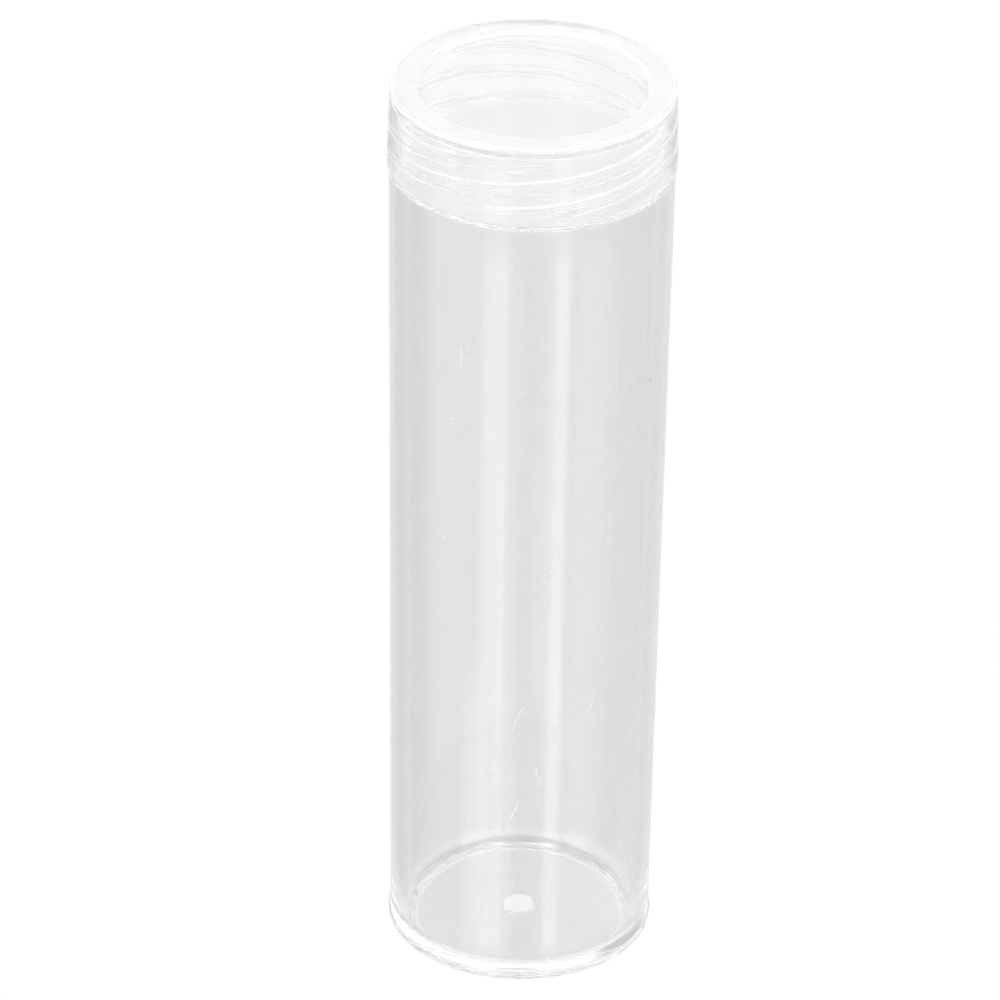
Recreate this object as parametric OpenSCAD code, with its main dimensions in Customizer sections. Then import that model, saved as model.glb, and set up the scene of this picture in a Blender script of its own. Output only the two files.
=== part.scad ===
// Clear screw-top tube for one roll of coins, in millimetres
// +Z is up, the origin is at the centre of the base, and -Y faces the viewer

/* [Coins] */
// Diameter of one coin
coin_d = 19.05; // [17:0.05:26]
// Thickness of one coin
coin_t = 1.52; // [1.2:0.02:2.2]
// Coins in a full roll
coin_count = 50; // [20:1:60]
// Room across the lowest coin, at the floor
coin_play = 0.43; // [0.2:0.01:1]
// Room between a full roll and the cap
stack_room = 3.14; // [0.5:0.02:6]

/* [Tube] */
// Wall of the tube, level with the floor and everywhere above it
wall = 1.5; // [1.2:0.05:2.5]
// Slope of the bore and of the outside, which lets the moulding leave its mould
draft = 0.5; // [0.1:0.05:0.8]
// Thickness of the floor
floor_t = 0.72; // [0.6:0.02:3]
// Round between the floor and the bore
floor_round = 1.06; // [0.2:0.02:1.2]
// Height of the band round the foot
foot_h = 0.8; // [0.6:0.05:2]
// How far that band stands out from the wall
foot_proud = 0.1; // [0.05:0.05:0.3]
// Round on the lower edge of the foot
foot_round = 0.3; // [0.1:0.05:0.5]
// Width of the flat ring that the tube stands on
stand_w = 1.2; // [0.8:0.1:2.5]
// Depth of the hollow under the floor, inside that ring
base_hollow = 0.2; // [0.1:0.05:0.6]
// Diameter of the low boss in the middle of the floor, inside the tube
boss_d = 2.7; // [1.5:0.1:4]
// Height of that boss above the floor
boss_h = 0.35; // [0.05:0.05:0.5]
// Chamfer round the top of the boss
boss_chamfer = 0.2; // [0.05:0.05:0.3]

/* [Neck] */
// Wall of the neck at its rim, under the thread
neck_wall = 0.52; // [0.46:0.02:0.8]
// Gap between the shoulder of the tube and the lower edge of the cap
shoulder_gap = 0.2; // [0.1:0.05:0.5]
// Gap between the rim of the neck and the underside of the cap
rim_gap = 0.05; // [0.03:0.01:0.3]
// Chamfer on the shoulder and on both edges of the rim
edge_chamfer = 0.12; // [0.05:0.01:0.2]

/* [Thread] */
// Number of ridges side by side on the neck, and of those in the cap
starts = 3; // [1:1:4]
// Rise of a ridge in one turn
lead = 6.75; // [5:0.05:9]
// Height of a ridge above its wall
ridge_depth = 0.27; // [0.2:0.01:0.35]
// Width of a ridge where it leaves its wall
ridge_foot_w = 0.6; // [0.5:0.01:0.6]
// Width of a ridge along its crest
ridge_crest_w = 0.35; // [0.2:0.01:0.4]
// Clearance between a crest and the wall that it faces
thread_play = 0.08; // [0.06:0.01:0.15]
// Clearance along the axis between a ridge of the cap and the ridge above it on the neck
flank_play = 0.13; // [0.1:0.01:0.2]
// Height of a ridge's lower end, at its middle line, above the cap's lower edge
ridge_start = 0.84; // [0.6:0.02:1.5]
// Distance from a ridge's upper end, at its middle line, down from the cap's underside
ridge_stop = 0.65; // [0.5:0.01:1.5]
// Angle over which each end of a ridge dies away into its wall
ridge_fade = 18; // [8:1:40]
// Direction of a lower end of the neck's ridges, seen from above, from +X towards +Y
ridge_angle = -120; // [-180:5:180]

/* [Cap] */
// Height of the cap
cap_h = 7.17; // [6:0.01:12]
// Thickness of the cap's top, outside the recess
cap_top_t = 1; // [0.8:0.05:2]
// Wall of the skirt at its lower edge
skirt_wall = 0.72; // [0.6:0.02:1.2]
// Slope of the outside of the skirt
cap_draft = 1.35; // [0:0.05:1.5]
// Round on the upper edge of the cap
cap_edge_round = 0.35; // [0.1:0.05:0.5]
// Width of the ring round the recess, from the floor of the recess to the cap's outside
lip_w = 2.35; // [1.2:0.05:5]
// Depth of the recess, and the round of its lip
recess_depth = 0.4; // [0.1:0.05:0.5]
// Clearance round the middle panel, which is the floor of the recess
panel_play = 0.04; // [0.02:0.01:0.08]

/* [Hidden] */
tube_colour = [0.87, 0.88, 0.89];
cap_colour = [0.93, 0.94, 0.95];
// Overrun of each cut past the surface that it opens
over = 0.5;
// How far a ridge's root is sunk into its wall
root_sink = 0.2;
// How far the crest dips under the wall at a ridge's very end
fade_sink = 0.04;
// Flat steps round one turn of a ridge
turn_steps = 72;
full_turn = 360;
// Steps of a full circle about the axis, and of a small round
circle_steps = 96;
round_steps = 48;

// Heights, from the base up
cap_under_z = floor_t + coin_count * coin_t + stack_room;
total_h = cap_under_z + cap_top_t;
cap_z = total_h - cap_h;
shoulder_z = cap_z - shoulder_gap;
rim_z = cap_under_z - rim_gap;
ridge_low_z = cap_z + ridge_start;
ridge_high_z = cap_under_z - ridge_stop;

// Radii; the bore and the outside widen together from the floor to the neck
bore_floor_r = (coin_d + coin_play) / 2;
function bore_r(z) = bore_floor_r + (z - floor_t) * tan(draft);
function wall_r(z) = bore_r(z) + wall;
foot_r = wall_r(foot_h) + foot_proud;
neck_r = bore_r(rim_z) + neck_wall;
neck_crest_r = neck_r + ridge_depth;
cap_bore_r = neck_crest_r + thread_play;
cap_low_r = cap_bore_r + skirt_wall;
cap_high_r = cap_low_r - cap_h * tan(cap_draft);
recess_r = cap_high_r - lip_w;

// A ridge of the cap lies under the neck's ridge by this much along the axis
mesh_step = (ridge_foot_w + ridge_crest_w) / 2 + flank_play;

// Four points of a ridge's outline at one angle; its crest falls under the wall as strength goes from 1 to 0
function ridge_points(angle, z, wall_radius, outward, strength) =
    let (
        flank = (ridge_foot_w - ridge_crest_w) / 2 / ridge_depth,
        rise = ridge_depth * strength - fade_sink * (1 - strength),
        root_radius = wall_radius - outward * root_sink,
        crest_radius = wall_radius + outward * rise,
        root_half = ridge_foot_w / 2 + root_sink * flank,
        crest_half = ridge_foot_w / 2 - rise * flank
    )
    [
        [root_radius * cos(angle), root_radius * sin(angle), z - root_half],
        [crest_radius * cos(angle), crest_radius * sin(angle), z - crest_half],
        [crest_radius * cos(angle), crest_radius * sin(angle), z + crest_half],
        [root_radius * cos(angle), root_radius * sin(angle), z + root_half]
    ];

// One ridge that climbs round the axis from low_z at start_angle to high_z
module ridge(start_angle, low_z, high_z, wall_radius, outward) {
    sweep = (high_z - low_z) / lead * full_turn;
    steps = ceil(sweep / full_turn * turn_steps);
    step_angle = sweep / steps;
    rings = [for (i = [0:steps]) ridge_points(
        start_angle + i * step_angle,
        low_z + i * step_angle / full_turn * lead,
        wall_radius,
        outward,
        min(1, min(i, steps - i) * step_angle / ridge_fade)
    )];
    points = [for (ring = rings) each ring];
    side = len(rings[0]);
    last = steps * side;
    sides = [for (i = [0:steps - 1]) for (j = [0:side - 1]) for (half_face = [0, 1])
        let (a = i * side + j, b = i * side + (j + 1) % side)
        half_face == 0 ? [a, b, b + side] : [a, b + side, a + side]];
    ends = [[0, 3, 2], [0, 2, 1], [last, last + 1, last + 2], [last, last + 2, last + 3]];
    faces = [for (face = concat(sides, ends)) outward > 0 ? face : [face[2], face[1], face[0]]];
    polyhedron(points, faces, convexity = 8);
}

// The ridges of one wall, evenly spaced round the axis
module ridges(start_angle, low_z, high_z, wall_radius, outward) {
    for (i = [0:starts - 1])
        ridge(start_angle + i * full_turn / starts, low_z, high_z, wall_radius, outward);
}

// Half section of the tube's outside, from the foot to the rim
module tube_outline() {
    foot_centre = [foot_r - foot_round, foot_round];
    polygon([
        [0, 0],
        [foot_centre[0], 0],
        foot_centre,
        [foot_r, foot_round],
        [foot_r, foot_h - foot_proud],
        [wall_r(foot_h), foot_h],
        [wall_r(shoulder_z - edge_chamfer), shoulder_z - edge_chamfer],
        [wall_r(shoulder_z) - edge_chamfer, shoulder_z],
        [neck_r, shoulder_z],
        [neck_r, rim_z - edge_chamfer],
        [neck_r - edge_chamfer, rim_z],
        [0, rim_z]
    ]);
    translate(foot_centre) circle(r = foot_round, $fn = round_steps);
}

// Half section of the bore, with the round at the floor and the chamfer at the rim
module bore_outline() {
    round_centre = [bore_r(floor_t + floor_round) - floor_round, floor_t + floor_round];
    polygon([
        [0, floor_t],
        [round_centre[0], floor_t],
        round_centre,
        [bore_r(round_centre[1]), round_centre[1]],
        [bore_r(rim_z - edge_chamfer), rim_z - edge_chamfer],
        [bore_r(rim_z) + edge_chamfer, rim_z],
        [bore_r(rim_z) + edge_chamfer, rim_z + over],
        [0, rim_z + over]
    ]);
    translate(round_centre) circle(r = floor_round, $fn = round_steps);
}

// The low boss, with a chamfer round its top, standing on the floor and rooted in it
module floor_boss() {
    boss_r = boss_d / 2;
    rotate_extrude($fn = round_steps) polygon([
        [0, floor_t - root_sink],
        [boss_r, floor_t - root_sink],
        [boss_r, floor_t + boss_h - boss_chamfer],
        [boss_r - boss_chamfer, floor_t + boss_h],
        [0, floor_t + boss_h]
    ]);
}

// The tube: wall, floor, foot, threaded neck and the boss in the middle of the floor
module tube() {
    color(tube_colour) union() {
        difference() {
            rotate_extrude($fn = circle_steps) difference() {
                tube_outline();
                bore_outline();
            }
            translate([0, 0, -over]) cylinder(r = foot_r - stand_w, h = over + base_hollow, $fn = circle_steps);
        }
        floor_boss();
        ridges(ridge_angle, ridge_low_z, ridge_high_z, neck_r, 1);
    }
}

// Half section of the cap's outside, with the round on its upper edge
module cap_outline() {
    round_r = cap_high_r + cap_edge_round * tan(cap_draft);
    round_centre = [round_r - cap_edge_round, total_h - cap_edge_round];
    polygon([
        [recess_r + recess_depth, cap_z],
        [cap_low_r, cap_z],
        [round_r, round_centre[1]],
        round_centre,
        [round_centre[0], total_h],
        [recess_r + recess_depth, total_h]
    ]);
    translate(round_centre) circle(r = cap_edge_round, $fn = round_steps);
}

// Half section of the lip round the recess, which is round on its upper inner edge
module lip_outline() {
    translate([recess_r, cap_under_z]) square([recess_depth + over, cap_top_t - recess_depth]);
    intersection() {
        translate([recess_r + recess_depth, total_h - recess_depth]) circle(r = recess_depth, $fn = round_steps);
        translate([recess_r, cap_under_z]) square([recess_depth, cap_top_t]);
    }
}

// The cap without its middle panel: the outer ring of the top, the skirt and the thread inside it
module cap() {
    color(cap_colour) union() {
        rotate_extrude($fn = circle_steps) {
            difference() {
                cap_outline();
                translate([0, cap_z - over]) square([cap_bore_r, cap_under_z - cap_z + over]);
            }
            lip_outline();
        }
        ridges(
            ridge_angle + mesh_step / lead * full_turn,
            ridge_low_z,
            ridge_high_z,
            cap_bore_r,
            -1
        );
    }
}

// The flat round middle of the cap's top, which is the floor of its recess
module cap_centre_panel() {
    color(cap_colour) translate([0, 0, cap_under_z])
        cylinder(r = recess_r - panel_play, h = cap_top_t - recess_depth, $fn = circle_steps);
}

tube();
cap();
cap_centre_panel();
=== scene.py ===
# %% [markdown]
# # A clear coin tube
#
# A screw-top tube of clear moulded plastic holds one roll of coins. It is two mouldings: the tube
# and its cap. Both are almost colourless, so what the eye sees is how their walls bend the light of
# a white room, and a few marks of moulding and use. This lesson turns both mouldings from their
# outlines, cuts the screw thread into them by rule, and gives them a plastic that bends light as
# polystyrene does. A look, in the cells on light, is one ray that is followed from the camera.

# %% Load the frame
import math

import bpy
from mathutils import Matrix, Vector


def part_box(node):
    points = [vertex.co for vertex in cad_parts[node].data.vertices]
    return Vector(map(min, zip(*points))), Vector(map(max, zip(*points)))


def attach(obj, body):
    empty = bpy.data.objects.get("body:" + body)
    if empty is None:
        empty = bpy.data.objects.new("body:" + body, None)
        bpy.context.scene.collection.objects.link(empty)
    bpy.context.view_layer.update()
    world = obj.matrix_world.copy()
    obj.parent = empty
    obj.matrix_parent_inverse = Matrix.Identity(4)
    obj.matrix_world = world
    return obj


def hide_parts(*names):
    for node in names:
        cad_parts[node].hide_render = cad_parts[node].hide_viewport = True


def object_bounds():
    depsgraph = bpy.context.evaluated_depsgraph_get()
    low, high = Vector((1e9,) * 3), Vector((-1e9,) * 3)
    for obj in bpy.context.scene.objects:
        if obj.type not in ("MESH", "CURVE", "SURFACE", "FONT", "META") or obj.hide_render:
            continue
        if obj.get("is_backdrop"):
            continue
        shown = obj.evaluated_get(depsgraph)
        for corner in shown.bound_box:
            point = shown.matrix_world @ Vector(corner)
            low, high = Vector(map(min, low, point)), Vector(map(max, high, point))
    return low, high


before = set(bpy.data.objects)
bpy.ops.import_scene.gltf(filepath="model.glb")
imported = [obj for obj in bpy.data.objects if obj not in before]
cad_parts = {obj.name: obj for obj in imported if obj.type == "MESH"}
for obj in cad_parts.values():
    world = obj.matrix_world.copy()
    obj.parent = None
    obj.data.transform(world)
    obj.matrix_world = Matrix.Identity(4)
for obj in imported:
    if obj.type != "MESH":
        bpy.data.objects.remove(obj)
cad_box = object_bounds()
MM = 0.001

# %% [markdown]
# ## Sizes
#
# Every size is named once, in millimetres, as a mould maker would write it. The heights and radii
# that the CAD model already fixes are read from it, so both models stay one shape. A name that ends
# in _r is a radius, in _z a height above the table, in _h a height, in _w a width and in _t a
# thickness.

# %% Sizes of the two mouldings
cap_low, cap_high = (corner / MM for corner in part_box("cap"))
_, tube_high = (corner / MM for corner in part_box("tube"))
top_z = cap_high.z
cap_z = cap_low.z
rim_z = tube_high.z
cap_low_r = cap_high.x

wall = 1.5
draft = math.tan(math.radians(0.5))
floor_t = 0.72
bore_floor_r = 9.74
floor_round = 1.06
foot_h = 0.8
foot_proud = 0.1
stand_w = 1.2
base_hollow = 0.2
boss_r = 1.35
boss_h = 0.35
neck_wall = 0.52
shoulder_gap = 0.2

cap_top_t = 1.0
cap_draft = math.tan(math.radians(1.35))
lip_w = 2.35
recess_depth = 0.4

edge_round = 0.1
ledge_round = 0.04
foot_round = 0.3
neck_round = 0.12
boss_round = 0.24
lip_round = 0.2
cap_edge_round = 0.35
skirt_round = 0.12
roof_round = 0.15

starts = 3
lead = 6.75
ridge_depth = 0.27
ridge_foot_w = 0.6
ridge_crest_w = 0.35
thread_play = 0.08
flank_play = 0.13
ridge_start = 0.84
ridge_stop = 0.65
ridge_fade = math.radians(18)
ridge_angle = math.radians(-120)


def bore_r(z):
    return bore_floor_r + (z - floor_t) * draft


def wall_r(z):
    return bore_r(z) + wall


shoulder_z = cap_z - shoulder_gap
under_z = top_z - cap_top_t
neck_r = bore_r(rim_z) + neck_wall
cap_bore_r = neck_r + ridge_depth + thread_play
cap_high_r = cap_low_r - (top_z - cap_z) * cap_draft
recess_r = cap_high_r - lip_w
foot_r = wall_r(foot_h) + foot_proud
ridge_low_z = cap_z + ridge_start
ridge_high_z = under_z - ridge_stop
ridge_offset = (ridge_foot_w + ridge_crest_w) / 2 + flank_play
print(f"neck radius {neck_r:.3f}, cap bore radius {cap_bore_r:.3f}, cap height {top_z - cap_z:.2f}")

# %% [markdown]
# ## The camera
#
# The photograph was taken with a long lens from about 65 cm, looking down at the tube. The camera's
# place was worked out from the ellipses of the foot, of the cap's edge and of its top, which narrow
# and flatten in a way that only one distance and one angle explain.

# %% Camera
aim_z = 41.2
camera_distance = 653.7
elevation = math.radians(30.43)
yaw = math.radians(-0.225)
roll = math.radians(0.915)
focal_px = 7735
picture_px = 1000
sensor_mm = 36

forward = Vector((
    math.sin(yaw) * math.cos(elevation),
    math.cos(yaw) * math.cos(elevation),
    -math.sin(elevation),
))
level_right = forward.cross(Vector((0, 0, 1))).normalized()
level_up = level_right.cross(forward)
right = math.cos(roll) * level_right + math.sin(roll) * level_up
up = math.cos(roll) * level_up - math.sin(roll) * level_right
eye = Vector((
    0,
    -camera_distance * math.cos(elevation),
    aim_z + camera_distance * math.sin(elevation),
)) * MM

camera_data = bpy.data.cameras.new("camera")
camera_data.sensor_width = sensor_mm
camera_data.lens = sensor_mm * focal_px / picture_px
camera_data.clip_start = 0.01
camera_data.clip_end = 20
camera = bpy.data.objects.new("camera", camera_data)
bpy.context.scene.collection.objects.link(camera)
camera.matrix_world = Matrix.Translation(eye) @ Matrix((right, up, -forward)).transposed().to_4x4()
bpy.context.scene.camera = camera
print(f"lens {camera_data.lens:.1f} mm, eye {tuple(round(c, 4) for c in eye)}")

# %% [markdown]
# ## Sums written as sums
#
# Both the shapes and the finishes below are worked out by nodes. A node tree full of Math nodes is
# hard to read in a script, so one small class stands for a socket, and plain Python signs add the
# nodes: `a * b + 1` makes a Multiply and an Add. Any other node comes from one method that takes
# its type, its settings and its inputs.

# %% The node writer


class Wire:
    """A socket of a node tree that can be used in sums."""

    def __init__(self, tree, socket):
        self.tree = tree
        self.socket = socket

    def node(self, kind, settings=None, inputs=None, output=0):
        """Adds any node to the tree of this socket."""
        return add_node(self.tree, kind, settings, inputs, output)

    def maths(self, operation, *values):
        """Adds a Math node that works on these values."""
        inputs = dict(enumerate(values))
        return self.node("ShaderNodeMath", {"operation": operation}, inputs)

    def __add__(self, other):
        return self.maths("ADD", self, other)

    def __radd__(self, other):
        return self.maths("ADD", other, self)

    def __sub__(self, other):
        return self.maths("SUBTRACT", self, other)

    def __rsub__(self, other):
        return self.maths("SUBTRACT", other, self)

    def __mul__(self, other):
        return self.maths("MULTIPLY", self, other)

    def __rmul__(self, other):
        return self.maths("MULTIPLY", other, self)

    def __truediv__(self, other):
        return self.maths("DIVIDE", self, other)

    def __rtruediv__(self, other):
        return self.maths("DIVIDE", other, self)

    def __neg__(self):
        return self.maths("MULTIPLY", self, -1.0)

    def __abs__(self):
        return self.maths("ABSOLUTE", self)

    def larger(self, other):
        return self.maths("MAXIMUM", self, other)

    def smaller(self, other):
        return self.maths("MINIMUM", self, other)

    def vectors(self, operation, inputs, output=0):
        """Adds a Vector Math node, whose output "Value" is a number."""
        return self.node("ShaderNodeVectorMath", {"operation": operation}, inputs, output)

    def eased(self, low, high, start=0.0, end=1.0):
        """Goes smoothly from start to end while this value goes from low to high."""
        inputs = {"Value": self, "From Min": low, "From Max": high, "To Min": start, "To Max": end}
        return self.node("ShaderNodeMapRange", {"interpolation_type": "SMOOTHSTEP"}, inputs)

    def fading(self, low, high):
        """Goes smoothly from 1 to 0 while this value goes from low to high."""
        return self.eased(low, high, 1.0, 0.0)

    def band(self, rise, fall):
        """1 between two soft edges, each written as where it starts and ends, and 0 outside."""
        return self.eased(*rise) * self.fading(*fall)

    def split(self):
        """The three parts of a vector."""
        apart = self.tree.nodes.new("ShaderNodeSeparateXYZ")
        self.tree.links.new(self.socket, apart.inputs[0])
        return [Wire(self.tree, part) for part in apart.outputs]


def add_node(tree, kind, settings=None, inputs=None, output=0):
    """Adds a node, sets it, feeds its inputs with numbers or wires, and gives back one output."""
    made = tree.nodes.new(kind)
    for name, value in (settings or {}).items():
        setattr(made, name, value)
    for key, value in (inputs or {}).items():
        socket = made.inputs[key]
        if isinstance(value, Wire):
            tree.links.new(value.socket, socket)
        else:
            socket.default_value = value
    return Wire(tree, made.outputs[output]) if made.outputs else made


def empty_tree(owner):
    """The node tree of a material or a world, with nothing in it."""
    owner.use_nodes = True
    owner.node_tree.nodes.clear()
    return owner.node_tree


def end_tree(shader, kind="ShaderNodeOutputMaterial"):
    """Joins the last shader of a tree to its output node."""
    end = add_node(shader.tree, kind)
    shader.tree.links.new(shader.socket, end.inputs["Surface"])


# %% [markdown]
# ## Outlines
#
# Each moulding is round, so it starts as half of its section: a line of points from the axis to the
# axis. Corners get their real small rounds, because a mould never leaves a knife edge and because
# clear plastic shows every edge as a bright or dark line. A guard point close to each round keeps
# the smooth shading of the round from creeping over the flat beside it.
#
# Edges are also where clear plastic is rubbed and turns whitish. The same white veil also stands
# for painted highlights: the bright rings at edges and the glint on the boss. Each corner therefore
# says how much wear and painted highlight it has, and how much the stretch after it has, and the
# finish reads that later. A wide round gets them in one narrow ring only, near its end.

# %% Outline helper
round_steps = 6
wide_round = 0.5
wide_round_steps = 18
wear_and_highlight_ring = 0.85
wear_and_highlight_ring_half = 1 / 6
guard_gap = 0.03
same_radius = 1e-4


def outline(corners):
    """Points (r, z, threaded, wear and painted highlight) along the corners.

    A corner is (r, z, round, wear and highlight of its edge, wear and highlight of the stretch after
    it).
    """
    made = []
    for i, (r, z, size, wear_and_highlight, stretch) in enumerate(corners):
        here = Vector((r, z))
        if size == 0 or i in (0, len(corners) - 1):
            made.append((r, z, 0.0, stretch))
            continue
        before = (Vector(corners[i - 1][:2]) - here).normalized()
        after = (Vector(corners[i + 1][:2]) - here).normalized()
        half_angle = before.angle(after) / 2
        reach = size / math.tan(half_angle)
        centre = here + (before + after).normalized() * (size / math.sin(half_angle))
        first = here + before * reach - centre
        last = here + after * reach - centre
        sweep = first.angle_signed(last)
        wide = size > wide_round
        steps = wide_round_steps if wide else round_steps
        stretch_before = corners[i - 1][-1]
        made.append((*(here + before * (reach + guard_gap)), 0.0, stretch_before))
        for step in range(steps + 1):
            done = step / steps
            share = max(1 - abs(done - wear_and_highlight_ring) / wear_and_highlight_ring_half, 0) if wide else 1
            spot = centre + Matrix.Rotation(-sweep * done, 2) @ first
            made.append((*spot, 0.0, wear_and_highlight * share))
        made.append((*(here + after * (reach + guard_gap)), 0.0, stretch))
    return made


def with_thread_rows(points, wall_radius, low_z, high_z, step):
    """Adds fine rows, marked as threaded, to the upright wall at wall_radius."""
    rows = []
    for point, following in zip(points, points[1:] + points[-1:]):
        rows.append(point)
        r, z, _, wear_and_highlight = point
        next_r, next_z = following[:2]
        upright = max(abs(r - wall_radius), abs(next_r - wall_radius)) < same_radius
        if upright and z < low_z and next_z > high_z:
            first = max(z + step / 2, low_z - ridge_foot_w)
            last = min(next_z - step / 2, high_z + ridge_foot_w)
            count = math.floor((last - first) / step) + 1
            rows += [(r, first + j * step, 1.0, wear_and_highlight) for j in range(count)]
    return rows


# %% The two outlines
turn_steps = 270
thread_row = lead / turn_steps
# The wear of each corner is partly painted highlight: it also lays the bright rings at edges and the
# boss's glint on as white veil.
tube_points = with_thread_rows(
    outline([
        (0, base_hollow, 0, 0, 0),
        (foot_r - stand_w, base_hollow, edge_round, 0.1, 0.05),
        (foot_r - stand_w, 0, edge_round, 0.1, 0.2),
        (foot_r, 0, foot_round, 0.1, 0),
        (foot_r, foot_h - foot_proud, ledge_round, 0.1, 0),
        (wall_r(foot_h), foot_h, ledge_round, 0.1, 0),
        (wall_r(shoulder_z), shoulder_z, neck_round, 0.2, 0),
        (neck_r, shoulder_z, neck_round, 0, 0),
        (neck_r, rim_z, neck_round, 0.3, 0.2),
        (bore_r(rim_z), rim_z, neck_round, 0.3, 0),
        (bore_r(floor_t), floor_t, floor_round, 0.6, 0),
        (boss_r, floor_t, edge_round, 0, 0),
        (boss_r, floor_t + boss_h, boss_round, 0.9, 0.85),
        (0, floor_t + boss_h, 0, 0, 0.85),
    ]),
    neck_r, ridge_low_z, ridge_high_z, thread_row,
)
cap_points = with_thread_rows(
    outline([
        (0, top_z - recess_depth, 0, 0, 0),
        (recess_r, top_z - recess_depth, edge_round, 0.6, 0.5),
        (recess_r + recess_depth / 2, top_z, lip_round, 0.7, 0.42),
        (cap_high_r, top_z, cap_edge_round, 0.7, 0),
        (cap_low_r, cap_z, skirt_round, 0.9, 0.35),
        (cap_bore_r, cap_z, edge_round, 0.4, 0),
        (cap_bore_r, under_z, roof_round, 0.2, 0),
        (0, under_z, 0, 0, 0),
    ]),
    cap_bore_r, ridge_low_z, ridge_high_z, thread_row,
)
print("outline points: tube", len(tube_points), "cap", len(cap_points))

# %% [markdown]
# ## Turning the outline and cutting the thread
#
# A lathe spins an outline about the axis. A thread is the same outline with its wall pushed out
# wherever a helix passes. Geometry Nodes can do both in one tree: a grid has one column for each
# step of the turn and one row for each point of the outline, and every point of the grid is set to
# its radius, angle and height. On a threaded wall the radius grows by the ridge's height, which
# depends only on how far the point lies from the nearest helix. Made this way, ridge and wall are
# one closed skin, which clear plastic needs: a ridge laid over a wall would show its buried faces.
#
# The rows of the threaded wall lie as far apart as a ridge climbs in one step of the turn, and each
# face is cut in two along the climb. So every column cuts the ridges alike, and they come out
# smooth. Rows that don't climb with the ridges give them beads, which clear plastic shows at once.
# Each flank of a ridge also carries a painted highlight: a line of white veil in place of the
# bright line that the flank shows. Its edges are given as shares of the ridge's width at its foot
# and at its crest.

# %% The turning tree
merge_gap = 2e-6
# Edges of the painted highlight line on each flank, as shares of the foot and crest widths.
highlight_foot_share, highlight_crest_share = 0.7, 0.25


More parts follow.
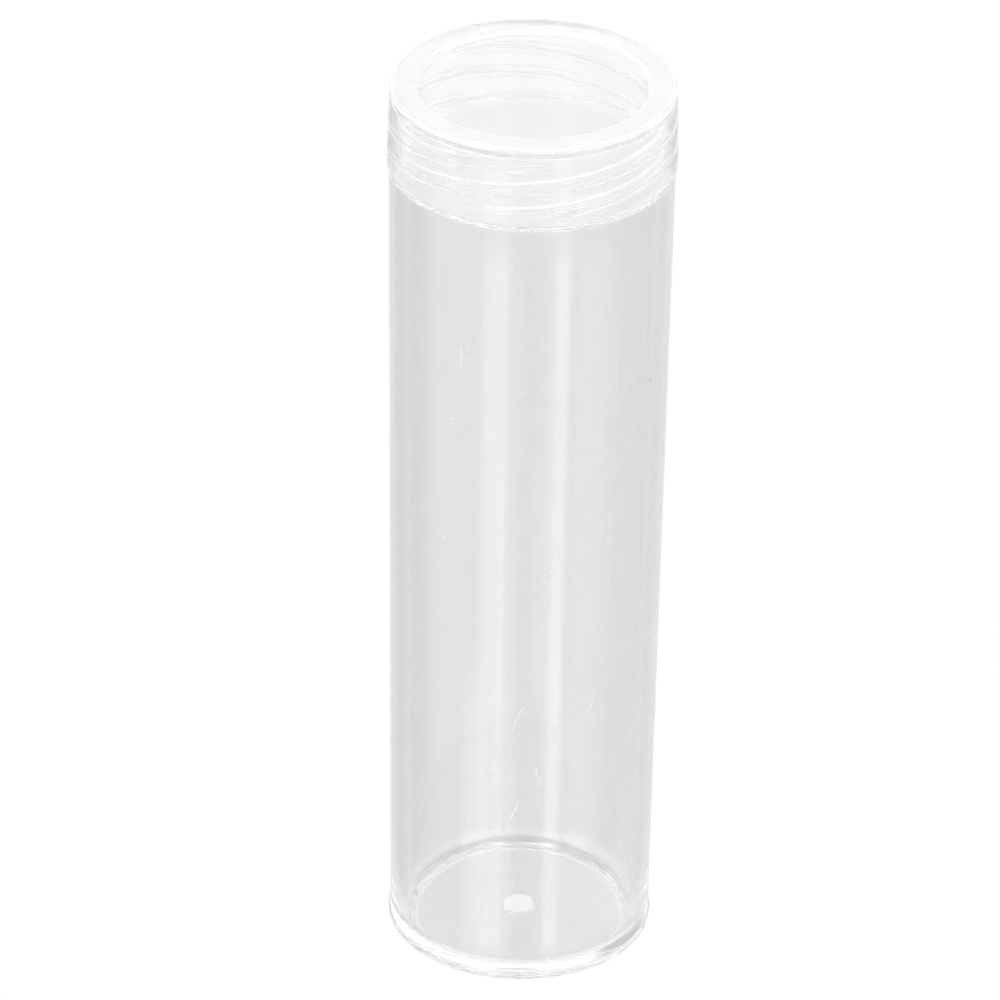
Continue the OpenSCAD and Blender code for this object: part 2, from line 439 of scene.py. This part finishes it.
def turning_tree():
    """The tree that turns an outline into a closed moulding with its thread."""
    tree = bpy.data.node_groups.new("turned_and_threaded", "GeometryNodeTree")
    face = tree.interface
    face.new_socket("Outline", in_out="INPUT", socket_type="NodeSocketGeometry")
    for name, kind in (
        ("Turn Steps", "NodeSocketInt"),
        ("Starts", "NodeSocketInt"),
        ("Lead", "NodeSocketFloat"),
        ("Ridge Height", "NodeSocketFloat"),
        ("Foot Width", "NodeSocketFloat"),
        ("Crest Width", "NodeSocketFloat"),
        ("Lowest", "NodeSocketFloat"),
        ("Highest", "NodeSocketFloat"),
        ("First Angle", "NodeSocketFloat"),
        ("Fade Angle", "NodeSocketFloat"),
        ("Sharp Angle", "NodeSocketFloat"),
        ("Ridge Highlight", "NodeSocketFloat"),
        ("Material", "NodeSocketMaterial"),
    ):
        face.new_socket(name, in_out="INPUT", socket_type=kind)
    face.new_socket("Moulding", in_out="OUTPUT", socket_type="NodeSocketGeometry")

    entry = tree.nodes.new("NodeGroupInput")
    given = {socket.name: Wire(tree, socket) for socket in entry.outputs if socket.name}
    start = given["Outline"]

    rows = start.node("GeometryNodeAttributeDomainSize", None, {"Geometry": start}, "Point Count")
    inputs = {"Vertices X": given["Turn Steps"] + 1, "Vertices Y": rows}
    grid = start.node("GeometryNodeMeshGrid", None, inputs)
    index = start.node("GeometryNodeInputIndex")
    row = index.maths("MODULO", index, rows)
    column = index / rows
    turn = column.maths("FLOOR", column) / given["Turn Steps"]
    angle = turn * math.tau

    def of_row(value, kind):
        """What the outline's point of this row holds."""
        inputs = {"Geometry": start, "Value": value, "Index": row}
        return start.node("GeometryNodeSampleIndex", {"data_type": kind}, inputs)

    def stored(name):
        inputs = {"Name": name}
        return start.node("GeometryNodeInputNamedAttribute", {"data_type": "FLOAT"}, inputs)

    radius, _, height = of_row(start.node("GeometryNodeInputPosition"), "FLOAT_VECTOR").split()
    threaded = of_row(stored("threaded"), "FLOAT")
    wear_and_highlight = of_row(stored("wear_and_highlight"), "FLOAT")

    lead = given["Lead"]
    pitch = lead / given["Starts"]
    climbed = (angle - given["First Angle"]) * lead / math.tau
    past = height - given["Lowest"] - climbed + pitch / 2
    off_line = past.maths("FLOORED_MODULO", past, pitch) - pitch / 2
    line_z = height - off_line
    room = (line_z - given["Lowest"]).smaller(given["Highest"] - line_z)
    strength = room.eased(0.0, lead * given["Fade Angle"] / math.tau) * threaded
    ridge = abs(off_line).eased(given["Foot Width"] / 2, given["Crest Width"] / 2)
    new_radius = radius + ridge * strength * given["Ridge Height"]
    # The flank lines are painted highlights, white veil in place of the bright lines of the ridges.
    across_flank = abs(off_line).eased(given["Foot Width"] * highlight_foot_share, given["Crest Width"] * highlight_crest_share)
    flank_highlight = across_flank * (1 - across_flank) * 4 * strength * given["Ridge Highlight"]
    spot = start.node("ShaderNodeCombineXYZ", None, {
        "X": new_radius * angle.maths("COSINE", angle),
        "Y": new_radius * angle.maths("SINE", angle),
        "Z": height,
    })
    placed = start.node("GeometryNodeSetPosition", None, {"Geometry": grid, "Position": spot})
    halved = start.node("GeometryNodeTriangulate", {"quad_method": "FIXED"}, {"Mesh": placed})
    marked = start.node(
        "GeometryNodeStoreNamedAttribute",
        {"data_type": "FLOAT", "domain": "POINT"},
        {"Geometry": halved, "Name": "wear_and_highlight", "Value": wear_and_highlight.larger(flank_highlight)},
    )
    inputs = {"Geometry": marked, "Distance": merge_gap}
    joined = start.node("GeometryNodeMergeByDistance", None, inputs)
    bend = start.node("GeometryNodeInputMeshEdgeAngle")
    soft = start.node(
        "FunctionNodeCompare",
        {"data_type": "FLOAT", "operation": "LESS_EQUAL"},
        {"A": bend, "B": given["Sharp Angle"]},
    )
    shaded = start.node(
        "GeometryNodeSetShadeSmooth", {"domain": "EDGE"}, {"Geometry": joined, "Shade Smooth": soft}
    )
    real = start.node("GeometryNodeRealizeInstances", None, {"Geometry": shaded})
    inputs = {"Geometry": real, "Material": given["Material"]}
    coated = start.node("GeometryNodeSetMaterial", None, inputs)
    exit_node = tree.nodes.new("NodeGroupOutput")
    tree.links.new(coated.socket, exit_node.inputs["Moulding"])
    return tree


turning = turning_tree()
print("turning tree has", len(turning.nodes), "nodes")

# %% Turning an outline


def turned(name, points, material, settings):
    """Turns an outline into a closed moulding and gives back its plain mesh object."""
    mesh = bpy.data.meshes.new(name + "_outline")
    spots = [(r * MM, 0, z * MM) for r, z, *_ in points]
    mesh.from_pydata(spots, [(i, i + 1) for i in range(len(points) - 1)], [])
    for place, label in ((2, "threaded"), (3, "wear_and_highlight")):
        mark = mesh.attributes.new(label, "FLOAT", "POINT")
        mark.data.foreach_set("value", [point[place] for point in points])
    mesh.materials.append(material)
    line = bpy.data.objects.new(name + "_outline", mesh)
    bpy.context.scene.collection.objects.link(line)
    modifier = line.modifiers.new("turn", "NODES")
    modifier.node_group = turning
    values = {**settings, "Material": material}
    for item in turning.interface.items_tree:
        if item.in_out == "INPUT" and item.name in values:
            modifier[item.identifier] = values[item.name]
    bpy.context.view_layer.update()
    evaluated = line.evaluated_get(bpy.context.evaluated_depsgraph_get())
    finished = bpy.data.meshes.new_from_object(evaluated)
    finished.name = name
    piece = bpy.data.objects.new(name, finished)
    bpy.context.scene.collection.objects.link(piece)
    line.modifiers.remove(modifier)
    bpy.data.objects.remove(line)
    volume = signed_volume(finished)
    if volume < 0:
        finished.flip_normals()
    finished.calc_loop_triangles()
    count = len(finished.loop_triangles)
    print(f"{name}: {count} triangles, {abs(volume) / MM ** 3:.0f} cubic mm")
    return piece


def signed_volume(mesh):
    """The volume inside a closed mesh, below zero where its faces point inwards."""
    mesh.calc_loop_triangles()
    total = 0.0
    for triangle in mesh.loop_triangles:
        a, b, c = (mesh.vertices[i].co for i in triangle.vertices)
        total += a.dot(b.cross(c)) / 6
    return total


# %% [markdown]
# ## Marks of handling
#
# Coins and fingers leave marks on such a tube: hair-fine scratches that run mostly along it, pinhole
# specks, and dull patches where it is held. None of them changes its shape. Each becomes a mask
# between 0 and 1 that says where the plastic scatters light instead of passing it on. Scratches are
# the borders of long narrow cells, broken up by a noise, which gives fine lines of all lengths from
# few nodes. The cells are laid out on the wall as if it were unrolled, so they don't smear on it.

# %% Masks of handling
unrolled_r = 11.5 * MM
break_scale = 0.9
break_low, break_high = 0.5, 0.62
speck_core = 0.6


def around(place):
    """Radius and angle about the axis, with the angle 0 at the side that faces the camera."""
    x, y, _ = place.split()
    level = place.vectors("MULTIPLY", {0: place, 1: (1, 1, 0)})
    radius = place.vectors("LENGTH", {0: level}, "Value")
    return radius, x.maths("ARCTAN2", x, -y)


def scratches(place, angle, slant, across, along, width):
    """Fine lines along the wall, with so many cells in a metre across it and along it."""
    _, _, height = place.split()
    sideways = angle * unrolled_r + height * slant
    flat = place.node("ShaderNodeCombineXYZ", None, {"X": sideways * across, "Y": height * along})
    to_border = {"voronoi_dimensions": "2D", "feature": "DISTANCE_TO_EDGE"}
    border = flat.node("ShaderNodeTexVoronoi", to_border, {"Vector": flat, "Scale": 1.0})
    inputs = {"Vector": flat, "Scale": break_scale, "Detail": 1.0}
    broken = flat.node("ShaderNodeTexNoise", {"noise_dimensions": "2D"}, inputs)
    return border.fading(0.0, width * across) * broken.eased(break_low, break_high)


def specks(place, cells, size):
    """Pinhole specks of a size, one in some of the cells."""
    dot = place.node("ShaderNodeTexVoronoi", {"feature": "F1"}, {"Vector": place, "Scale": cells})
    return dot.fading(size * cells * speck_core, size * cells)


def patches(place, scale, low, high):
    """Soft patches from a noise."""
    noise = place.node("ShaderNodeTexNoise", None, {"Vector": place, "Scale": scale, "Detail": 3.0})
    return noise.eased(low, high)


# %% [markdown]
# ## The marks that can be pointed at
#
# A few marks are large enough to be seen one by one: five fine scratches, two painted highlights low
# on the wall, bright smudges of light gathered in the plastic, single bright specks and two dark
# ones. They are written as tables of places on the wall, as an angle from the front and a height,
# which is how one would measure them on the real tube. A line is cut into short straight pieces, and
# its mask is the distance to the nearest piece.

# %% Single marks
scratch_lines = [
    [(31.5, 28.55), (30.7, 27.3), (27.5, 26.29)],
    [(0.4, 27.69), (-2.6, 26.47), (-3.8, 25.36)],
    [(-1.3, 18.38), (-2.0, 17.53), (-4.1, 16.59)],
    [(6.2, 21.56), (7.4, 20.04)],
    [(-28.2, 61.86), (-28.2, 59.79)],
]
# Two painted highlights: bright smudges of light gathered in the plastic, laid on as haze.
highlight_smudges = [
    [(-23.9, 13.86), (-18.9, 14.63), (-14.0, 15.03)],
    [(21.5, 14.38), (24.8, 13.92), (28.2, 13.32)],
]
bright_dots = [
    (-5.3, 20.37), (14.0, 26.04), (-11.8, 21.17), (-22.6, 15.76), (-2.4, 58.21),
    (-36.3, 42.92), (-32.7, 54.65), (-31.5, 4.65), (-27.4, 4.21), (8.4, 20.53),
]
dark_dots = [(59.2, 56.51), (-61.8, 4.72)]
line_core, dot_core = 0.4, 0.5


def on_wall(angle, height):
    """The point of the tube's outside at an angle in degrees and a height in millimetres."""
    turn = math.radians(angle)
    r = wall_r(height)
    return Vector((r * math.sin(turn), -r * math.cos(turn), height)) * MM


def near_line(place, first, last, reach):
    """1 on the straight line from first to last, fading to 0 at reach from it."""
    along = last - first
    off = place.vectors("SUBTRACT", {0: place, 1: first})
    share = place.vectors("DOT_PRODUCT", {0: off, 1: along / along.length_squared}, "Value")
    held = share.larger(0.0).smaller(1.0)
    foot = place.vectors("SCALE", {0: along, "Scale": held})
    distance = place.vectors("DISTANCE", {0: off, 1: foot}, "Value")
    return distance.fading(reach * line_core, reach)


def near_dot(place, spot, reach):
    """1 at a spot, fading to 0 at reach from it."""
    distance = place.vectors("DISTANCE", {0: place, 1: spot}, "Value")
    return distance.fading(reach * dot_core, reach)


def near_lines(marks, place, lines, reach, strength):
    """Adds whole lines of places on the wall to the marks."""
    for line in lines:
        for first, last in zip(line, line[1:]):
            piece = near_line(place, on_wall(*first), on_wall(*last), reach)
            marks = marks.larger(piece * strength)
    return marks


mark_tables = (scratch_lines, highlight_smudges, bright_dots, dark_dots)
print("single marks:", sum(len(table) for table in mark_tables))

# %% [markdown]
# ## Clear plastic
#
# Polystyrene bends light by 1.59 and passes nearly all of it. The tube's thick wall takes a little
# of the light, its thin neck less. Where the surface is rubbed or marked, it scatters light both
# back and through. So each finish is two shaders: a clear one, and a white veil that is half
# Diffuse and half Translucent, and a mask decides between them. A single Principled shader with
# less transmission would scatter only back and turn the cap grey.

# %% Clear plastic
plastic_ior = 1.59
veil_colour = (0.97, 0.97, 0.97, 1)
half_through = 0.5


def colour_mix(share, first, second):
    """The first colour where the share is 0 and the second where it is 1.

    A Mix node holds sockets for each kind of value, and 6, 7 and 2 are those for colours.
    """
    inputs = {0: share, 6: first, 7: second}
    return share.node("ShaderNodeMix", {"data_type": "RGBA"}, inputs, output=2)


def new_plastic(name):
    """A new material, the place on the piece and the wear and painted highlights stored on its mesh.
    """
    material = bpy.data.materials.new(name)
    tree = empty_tree(material)
    place = add_node(tree, "ShaderNodeTexCoord", output="Object")
    wear_and_highlight = add_node(tree, "ShaderNodeAttribute", {"attribute_name": "wear_and_highlight"}, output="Fac")
    return material, place, wear_and_highlight


def finish_plastic(colour, roughness, normal, haze):
    """Joins the clear shader and the veil by the haze mask."""
    inputs = {
        "Base Color": colour,
        "Roughness": roughness,
        "IOR": plastic_ior,
        "Transmission Weight": 1.0,
    }
    if normal is not None:
        inputs["Normal"] = normal
    clear = haze.node("ShaderNodeBsdfPrincipled", None, inputs)
    back = haze.node("ShaderNodeBsdfDiffuse", None, {"Color": veil_colour})
    through = haze.node("ShaderNodeBsdfTranslucent", None, {"Color": veil_colour})
    veil = haze.node("ShaderNodeMixShader", None, {0: half_through, 1: back, 2: through})
    end_tree(haze.node("ShaderNodeMixShader", None, {0: haze, 1: clear, 2: veil}))


# %% [markdown]
# ## The tube's finish
#
# The wall's colour is a little grey and faintly uneven, as thick clear plastic looks, and nearly
# white where the wall is thin. Its marks are one mask of haze: the edges that the mesh stores, with
# their wear and painted highlights, the single marks, among them two painted highlights, fine
# scratches in two directions, specks and dull patches. The boss is the scar of the mould's gate, so
# a Bump makes it uneven. Each pattern is one row of numbers below, with its sizes in metres and its
# scales as cells in a metre.

# %% The tube's colour
thick_light = (0.858, 0.858, 0.861, 1)
thick_dark = (0.842, 0.842, 0.846, 1)
thin_clear = (0.96, 0.96, 0.965, 1)
dirt = (0.12, 0.11, 0.1, 1)
dirt_reach = 0.16 * MM
mottling = (700.0, 0.3, 0.7)
neck_from, neck_to = 73.0 * MM, 73.6 * MM
foot_full, foot_end = 1.6 * MM, 2.1 * MM
rim_from, rim_to = 10.6 * MM, 10.9 * MM


def tube_colour(place, radius, height):
    """A little grey in the thick wall, clearer in the neck and the foot, dark at specks of dirt."""
    thick = colour_mix(patches(place, *mottling), thick_light, thick_dark)
    in_neck = height.eased(neck_from, neck_to)
    in_foot = height.fading(foot_full, foot_end) * radius.eased(rim_from, rim_to)
    thin = colour_mix(in_neck.larger(in_foot), thick, thin_clear)
    first, second = (near_dot(place, on_wall(*dot), dirt_reach) for dot in dark_dots)
    return colour_mix(first.larger(second), thin, dirt)


# %% The tube's marks
scratch_reach, scratch_haze = 0.11 * MM, 0.45
# The two painted highlight smudges are wide and faint.
smudge_reach, smudge_haze = 0.9 * MM, 0.22
dot_reach, dot_haze = 0.14 * MM, 0.8
# Scratches have a slant, cells across and along, and a width. Specks have cells and a size, and
# patches have a scale and the two noise levels between which they grow.
steep_scratches = (0.06, 420.0, 45.0, 0.02 * MM)
slant_scratches = (-0.3, 260.0, 60.0, 0.016 * MM)
tube_specks = (240.0, 0.07 * MM)
tube_patches = (95.0, 0.55, 0.8)
fine_haze, speck_haze, patch_haze = 0.08, 0.5, 0.012


def tube_marks(place, angle, wear_and_highlight):
    """The haze of edge wear and painted highlights, single marks, fine scratches, specks and dull
    patches.
    """
    marks = near_lines(wear_and_highlight, place, scratch_lines, scratch_reach, scratch_haze)
    # Adds the two painted highlight smudges.
    marks = near_lines(marks, place, highlight_smudges, smudge_reach, smudge_haze)
    for dot in bright_dots:
        marks = marks.larger(near_dot(place, on_wall(*dot), dot_reach) * dot_haze)
    steep = scratches(place, angle, *steep_scratches)
    slanted = scratches(place, angle, *slant_scratches)
    marks = marks.larger(steep.larger(slanted) * fine_haze)
    marks = marks.larger(specks(place, *tube_specks) * speck_haze)
    return marks + patches(place, *tube_patches) * patch_haze


# %% The tube's finish
tube_roughness = 0.0
lump_scale = 1100.0
lump_h = 0.3 * MM
boss_full_r, boss_end_r = 1.3 * MM, 1.5 * MM
boss_from, boss_to = 0.8 * MM, 0.95 * MM


def boss_lumps(place, radius, height):
    """A surface direction that is uneven on the boss, where the mould's gate left it rough."""
    on_boss = radius.fading(boss_full_r, boss_end_r) * height.eased(boss_from, boss_to)
    inputs = {"Vector": place, "Scale": lump_scale, "Detail": 2.0}
    lumps = place.node("ShaderNodeTexNoise", None, inputs)
    inputs = {"Strength": 1.0, "Distance": lump_h, "Height": lumps * on_boss}
    return lumps.node("ShaderNodeBump", None, inputs)


def tube_finish():
    """The tube's clear plastic."""
    material, place, wear_and_highlight = new_plastic("clear tube plastic")
    _, _, height = place.split()
    radius, angle = around(place)
    colour = tube_colour(place, radius, height)
    marks = tube_marks(place, angle, wear_and_highlight)
    finish_plastic(colour, tube_roughness, boss_lumps(place, radius, height), marks)
    return material


tube_clear = tube_finish()
print("tube finish has", len(tube_clear.node_tree.nodes), "nodes")

# %% [markdown]
# ## The cap's finish
#
# The cap's plastic is slightly milky. It gets the same two shaders with a haze all over it, a touch
# of roughness and marks of its own. The haze stays low, because each look through the cap meets
# several of its surfaces, and every one of them adds the same share again.

# %% The cap's finish
cap_light = (0.975, 0.985, 0.995, 1)
cap_dark = (0.96, 0.97, 0.982, 1)
cap_roughness = 0.03
cap_mottling = (500.0, 0.3, 0.7)
cap_scratches = (0.1, 300.0, 90.0, 0.02 * MM)
cap_specks = (300.0, 0.07 * MM)
cap_patches = (150.0, 0.4, 0.8)
cap_haze = 0.12
cap_fine_haze, cap_speck_haze, cap_patch_haze = 0.06, 0.6, 0.04


def cap_finish():
    """The cap's plastic, a little hazier and rougher than the tube's."""
    material, place, wear_and_highlight = new_plastic("hazy cap plastic")
    _, angle = around(place)
    colour = colour_mix(patches(place, *cap_mottling), cap_light, cap_dark)
    # The stored wear also holds painted highlights: white lines on the cap's edges and ridge flanks.
    marks = wear_and_highlight.larger(scratches(place, angle, *cap_scratches) * cap_fine_haze)
    marks = marks.larger(specks(place, *cap_specks) * cap_speck_haze)
    haze = marks + patches(place, *cap_patches) * cap_patch_haze + cap_haze
    finish_plastic(colour, cap_roughness, None, haze.smaller(1.0))
    return material


cap_clear = cap_finish()
print("cap finish has", len(cap_clear.node_tree.nodes), "nodes")

# %% [markdown]
# ## The two mouldings
#
# Both come out of the same tree. The tube's ridges stand out from its neck and the cap's ridges
# stand in from its skirt, so the ridge height changes sign. The cap's ridges start a little further
# round, which puts each of them just under a ridge of the neck, as a closed cap has them.

# %% The two mouldings
sharp_angle = math.radians(40)
thread = {
    "Starts": starts,
    "Lead": lead * MM,
    "Foot Width": ridge_foot_w * MM,
    "Crest Width": ridge_crest_w * MM,
    "Lowest": ridge_low_z * MM,
    "Highest": ridge_high_z * MM,
    "Fade Angle": ridge_fade,
    "Sharp Angle": sharp_angle,
    "Ridge Highlight": 1.0,
    "Turn Steps": turn_steps,
}
tube = turned("tube_moulding", tube_points, tube_clear, {
    **thread,
    "Ridge Height": ridge_depth * MM,
    "First Angle": ridge_angle,
})
cap = turned("cap_moulding", cap_points, cap_clear, {
    **thread,
    "Ridge Height": -ridge_depth * MM,
    "First Angle": ridge_angle + ridge_offset / lead * math.tau,
})
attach(tube, "tube")
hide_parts("tube")
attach(cap, "cap")
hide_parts("cap", "cap_centre_panel")

# %% [markdown]
# ## The table
#
# The tube stands on a smooth white table that is overexposed to white in the picture. The camera
# looks down at 30 degrees, and an upright wall sends that look on at 30 degrees down, whether it
# passes it or mirrors it. So nearly all that is seen in the tube is the table, and the bright
# stripes in it are soft boxes mirrored first by the table. The table therefore has a gloss for
# looks that come by way of the plastic, and plain white paper for the rest. A place on the table
# shows at one height of the tube's wall, so what changes up the wall is written by the distance
# from the foot. That distance is shifted a little by direction, because a place that shows at the
# same height lies nearer behind the tube and further off in front of it. Close round the foot the
# gloss gives way to the paper and its contact shadow.

# %% The table's shape
half_floor = 3.0
floor_drop = 0.02 * MM
floor_corners = [
    (x * half_floor, y * half_floor, -floor_drop) for x, y in ((-1, -1), (1, -1), (1, 1), (-1, 1))
]
floor_mesh = bpy.data.meshes.new("floor")
floor_mesh.from_pydata(floor_corners, [], [(0, 1, 2, 3)])
floor = bpy.data.objects.new("floor", floor_mesh)
bpy.context.scene.collection.objects.link(floor)
floor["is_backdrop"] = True
print("table", 2 * half_floor, "m square")

# %% Kinds of looks


def look_kinds(tree):
    """Whether a look comes straight from the camera, by a mirror or bend, and by a bend last."""
    path = tree.nodes.new("ShaderNodeLightPath")
    names = ("Is Camera Ray", "Is Glossy Ray", "Is Transmission Ray")
    by_camera, by_gloss, by_glass = (Wire(tree, path.outputs[name]) for name in names)
    return by_camera, by_gloss.larger(by_glass), by_glass


def facing(x, y):
    """Angle in degrees between a level direction and the way from the tube to the camera."""
    return x.maths("ARCTAN2", x, -y) * (180 / math.pi)


# %% The table's finish
white = (1, 1, 1, 1)
table_glow = 0.93
paper_colour = (1 - table_glow,) * 3 + (1,)
contact_shade = (0.72, 0.72, 0.72, 1)
contact_from, contact_to = (11.15 * MM, 11.35 * MM), (11.9 * MM, 13.6 * MM)
table_gloss, stripe_gloss = 0.5, 0.2
gloss_from_behind, gloss_from_around = (11.8 * MM, 24 * MM), (12 * MM, 16 * MM)
# Each edge runs from one value to another, in degrees off straight behind or off the camera's side.
behind_edge, before_edge = (6.0, 12.0), (60.0, 100.0)
behind_shift = (5.0, 14.0, 12 * MM, -3 * MM)
before_shift = -9 * MM
# A look runs so far over the table while it drops by one.
look_run = 1.704
# Near the foot the gloss is stronger where it mirrors the two soft boxes: middle and edge of each.
low_edge = (25 * MM, 32 * MM)
low_stripes = ((-15.0, 6.0, 10.0), (23.0, 8.0, 12.0))
neck_dimming = (71 * MM, 75 * MM, 0.0, 0.65)


def table_finish():
    """White paper for plain looks, and a gloss for those that come by way of the plastic."""
    material = bpy.data.materials.new("floor")
    tree = empty_tree(material)
    place = add_node(tree, "ShaderNodeTexCoord", output="Object")
    x, y, _ = place.split()
    distance = place.vectors("LENGTH", {0: place}, "Value")
    _, by_shine, _ = look_kinds(tree)
    front, back = facing(x, y), abs(facing(x, -y))
    behind, before = back.fading(*behind_edge), abs(front).fading(*before_edge)
    seen_height = (distance + back.eased(*behind_shift) + before * before_shift) / look_run
    striped = sum(abs(front - centre).fading(full, end) for centre, full, end in low_stripes)
    extra = seen_height.fading(*low_edge) * striped * stripe_gloss
    upper = 1 - seen_height.eased(*neck_dimming) * (behind + before)
    start_behind = distance.eased(*gloss_from_behind)
    start_around = distance.eased(*gloss_from_around)
    start = start_around + (start_behind - start_around) * behind
    gloss = by_shine * start * (table_gloss + extra) * upper
    contact = distance.band(contact_from, contact_to)
    shade = colour_mix(contact * by_shine, white, contact_shade)
    glow = place.node("ShaderNodeEmission", None, {"Color": shade, "Strength": table_glow})
    paper = place.node("ShaderNodeBsdfDiffuse", None, {"Color": paper_colour})
    plain = place.node("ShaderNodeAddShader", None, {0: paper, 1: glow})
    mirror = place.node("ShaderNodeBsdfAnisotropic", None, {"Color": white, "Roughness": 0.0})
    end_tree(place.node("ShaderNodeMixShader", None, {0: gloss, 1: plain, 2: mirror}))
    return material


floor_mesh.materials.append(table_finish())
print("table finish has", len(floor_mesh.materials[0].node_tree.nodes), "nodes")

# %% [markdown]
# ## The room
#
# The room is white and even, and lights the tube at a plain level. What the table mirrors in it are
# the soft boxes in front, to the left and the right, and slightly dimmer walls behind the tube at
# either side, which draw the tube's edges darker. The left box is drawn as four bands beside each
# other, as its stripe is broad and uneven, and the right one as a bright band and a wide faint one.
# Two more things are seen only by looks that the base bends upwards: a faint glow overhead and one
# dim corner behind on the left. All are drawn in the world by direction, so that each stays one
# upright stripe at every height of the tube.

# %% The room's levels
sky_level = 1.1
left_box_centre, right_box_centre = -21.0, 28.0
# Each band has its middle in degrees off the camera's side, half its width, a soft edge and a level.
box_bands = [
    (-33.0, 6.0, 3.0, 1.8),
    (left_box_centre, 5.0, 3.0, 1.4),
    (-11.0, 4.0, 4.0, 0.74),
    (right_box_centre, 7.0, 3.0, 1.5),
    (75.0, 36.0, 6.0, 0.75),
]
high_band = (-45.0, 8.0, 3.0, 1.2)
# What follows are levels and soft edges, each from one angle to another.
high_band_foot = (32.3, 33.2)
box_foot, box_top = (24.0, 28.0), (50.0, 60.0)
box_boost = (34.0, 44.0, 1.0, 3.0)
left_wall, right_wall, wall_end = (5.0, 24.0), (4.0, 12.0), (50.0, 58.0)
wall_top = (34.0, 42.0)
left_dim, right_dim = 0.48, 0.38
glow_foot, glow_top, glow_level = (20.0, 36.0), (54.0, 66.0), 0.06
corner_from, corner_to = (30.0, 42.0), (80.0, 95.0)
corner_foot, corner_top, corner_dim = (12.0, 28.0), (40.0, 50.0), 0.5
print("bands of light in the room:", len(box_bands) + 1)

# %% The room


def make_room():
    """A white room with its boxes, dimmer walls, the glow overhead and the dim corner."""
    room = bpy.data.worlds.new("room")
    tree = empty_tree(room)
    x, y, z = add_node(tree, "ShaderNodeTexCoord", output="Generated").split()
    front, back = facing(x, y), facing(x, -y)
    lift = z.maths("ARCSINE", z) * (180 / math.pi)
    by_camera, by_shine, by_glass = look_kinds(tree)

    def band(centre, half, soft, level):
        """One upright band of light."""
        return abs(front - centre).fading(half - soft, half + soft) * level

    boxes = sum(band(*each) for each in box_bands) + band(*high_band) * lift.eased(*high_band_foot)
    boxes = boxes * lift.band(box_foot, box_top) * lift.eased(*box_boost)
    walls = (-back).band(left_wall, wall_end) * left_dim + back.band(right_wall, wall_end) * right_dim
    walls = walls * lift.fading(*wall_top) * (1 - by_glass)
    overhead = lift.band(glow_foot, glow_top) * glow_level
    corner = (-back).band(corner_from, corner_to) * lift.band(corner_foot, corner_top) * corner_dim
    seen = boxes + 1.0 - walls + by_glass * (overhead - corner)
    level = sky_level + by_camera * (1.0 - sky_level) + by_shine * (seen - sky_level)
    light = x.node("ShaderNodeBackground", None, {"Color": white, "Strength": level})
    end_tree(light, "ShaderNodeOutputWorld")
    return room


bpy.context.scene.world = make_room()
print("room has", len(bpy.context.scene.world.node_tree.nodes), "nodes")

# %% [markdown]
# ## The soft boxes
#
# The same two soft boxes also light the marks and the cap's haze. They are area lamps at the places
# that the stripes point to. The plastic doesn't mirror the lamps themselves, because the world
# already shows the boxes there.

# %% The soft boxes
lamp_aim = Vector((0, 0, 40 * MM))
lamp_lift = math.radians(33)
lamp_distance = 0.8
lamp_w, lamp_h = 0.12, 0.3
lamp_radiance = 2.5


def soft_box(name, turn):
    """An area lamp that faces the tube from an angle in degrees off the camera's side."""
    side = math.radians(turn)
    across, height = math.cos(lamp_lift), math.sin(lamp_lift)
    data = bpy.data.lights.new(name, "AREA")
    data.shape = "RECTANGLE"
    data.size, data.size_y = lamp_w, lamp_h
    data.energy = lamp_radiance * math.pi * lamp_w * lamp_h
    made = bpy.data.objects.new(name, data)
    bpy.context.scene.collection.objects.link(made)
    away = Vector((across * math.sin(side), -across * math.cos(side), height))
    made.location = lamp_aim + lamp_distance * away
    made.rotation_euler = (lamp_aim - made.location).to_track_quat("-Z", "Y").to_euler()
    made.visible_camera = False
    made.visible_glossy = False
    made.visible_transmission = False
    print(name, "stands at", turn, "degrees with", round(data.energy, 3), "W")


soft_box("left_box", left_box_centre)
soft_box("right_box", right_box_centre)

# %% [markdown]
# ## Light that stays in the walls
#
# Clear walls guide light: a look that enters the floor or the wall may be mirrored inside it a
# hundred times before it leaves. With the usual limit of 12 bounces those looks end as black lines
# at every edge, so the limits are raised. The filter that blurs glossy light after a soft bounce is
# off, since it takes light from clear plastic.

# %% Light that stays in the walls
most_bounces = 1024
cycles = bpy.context.scene.cycles
for limit in ("max_bounces", "diffuse_bounces", "glossy_bounces", "transmission_bounces"):
    setattr(cycles, limit, most_bounces)
cycles.blur_glossy = 0.0
bpy.context.scene.view_settings.view_transform = "Standard"
print("bounces", cycles.max_bounces)

sizes = {"cad": cad_box, "visual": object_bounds()}
spans = {key: (corners[1] - corners[0]) / MM for key, corners in sizes.items()}
print("sizes", {key: [round(side, 2) for side in span] for key, span in spans.items()})
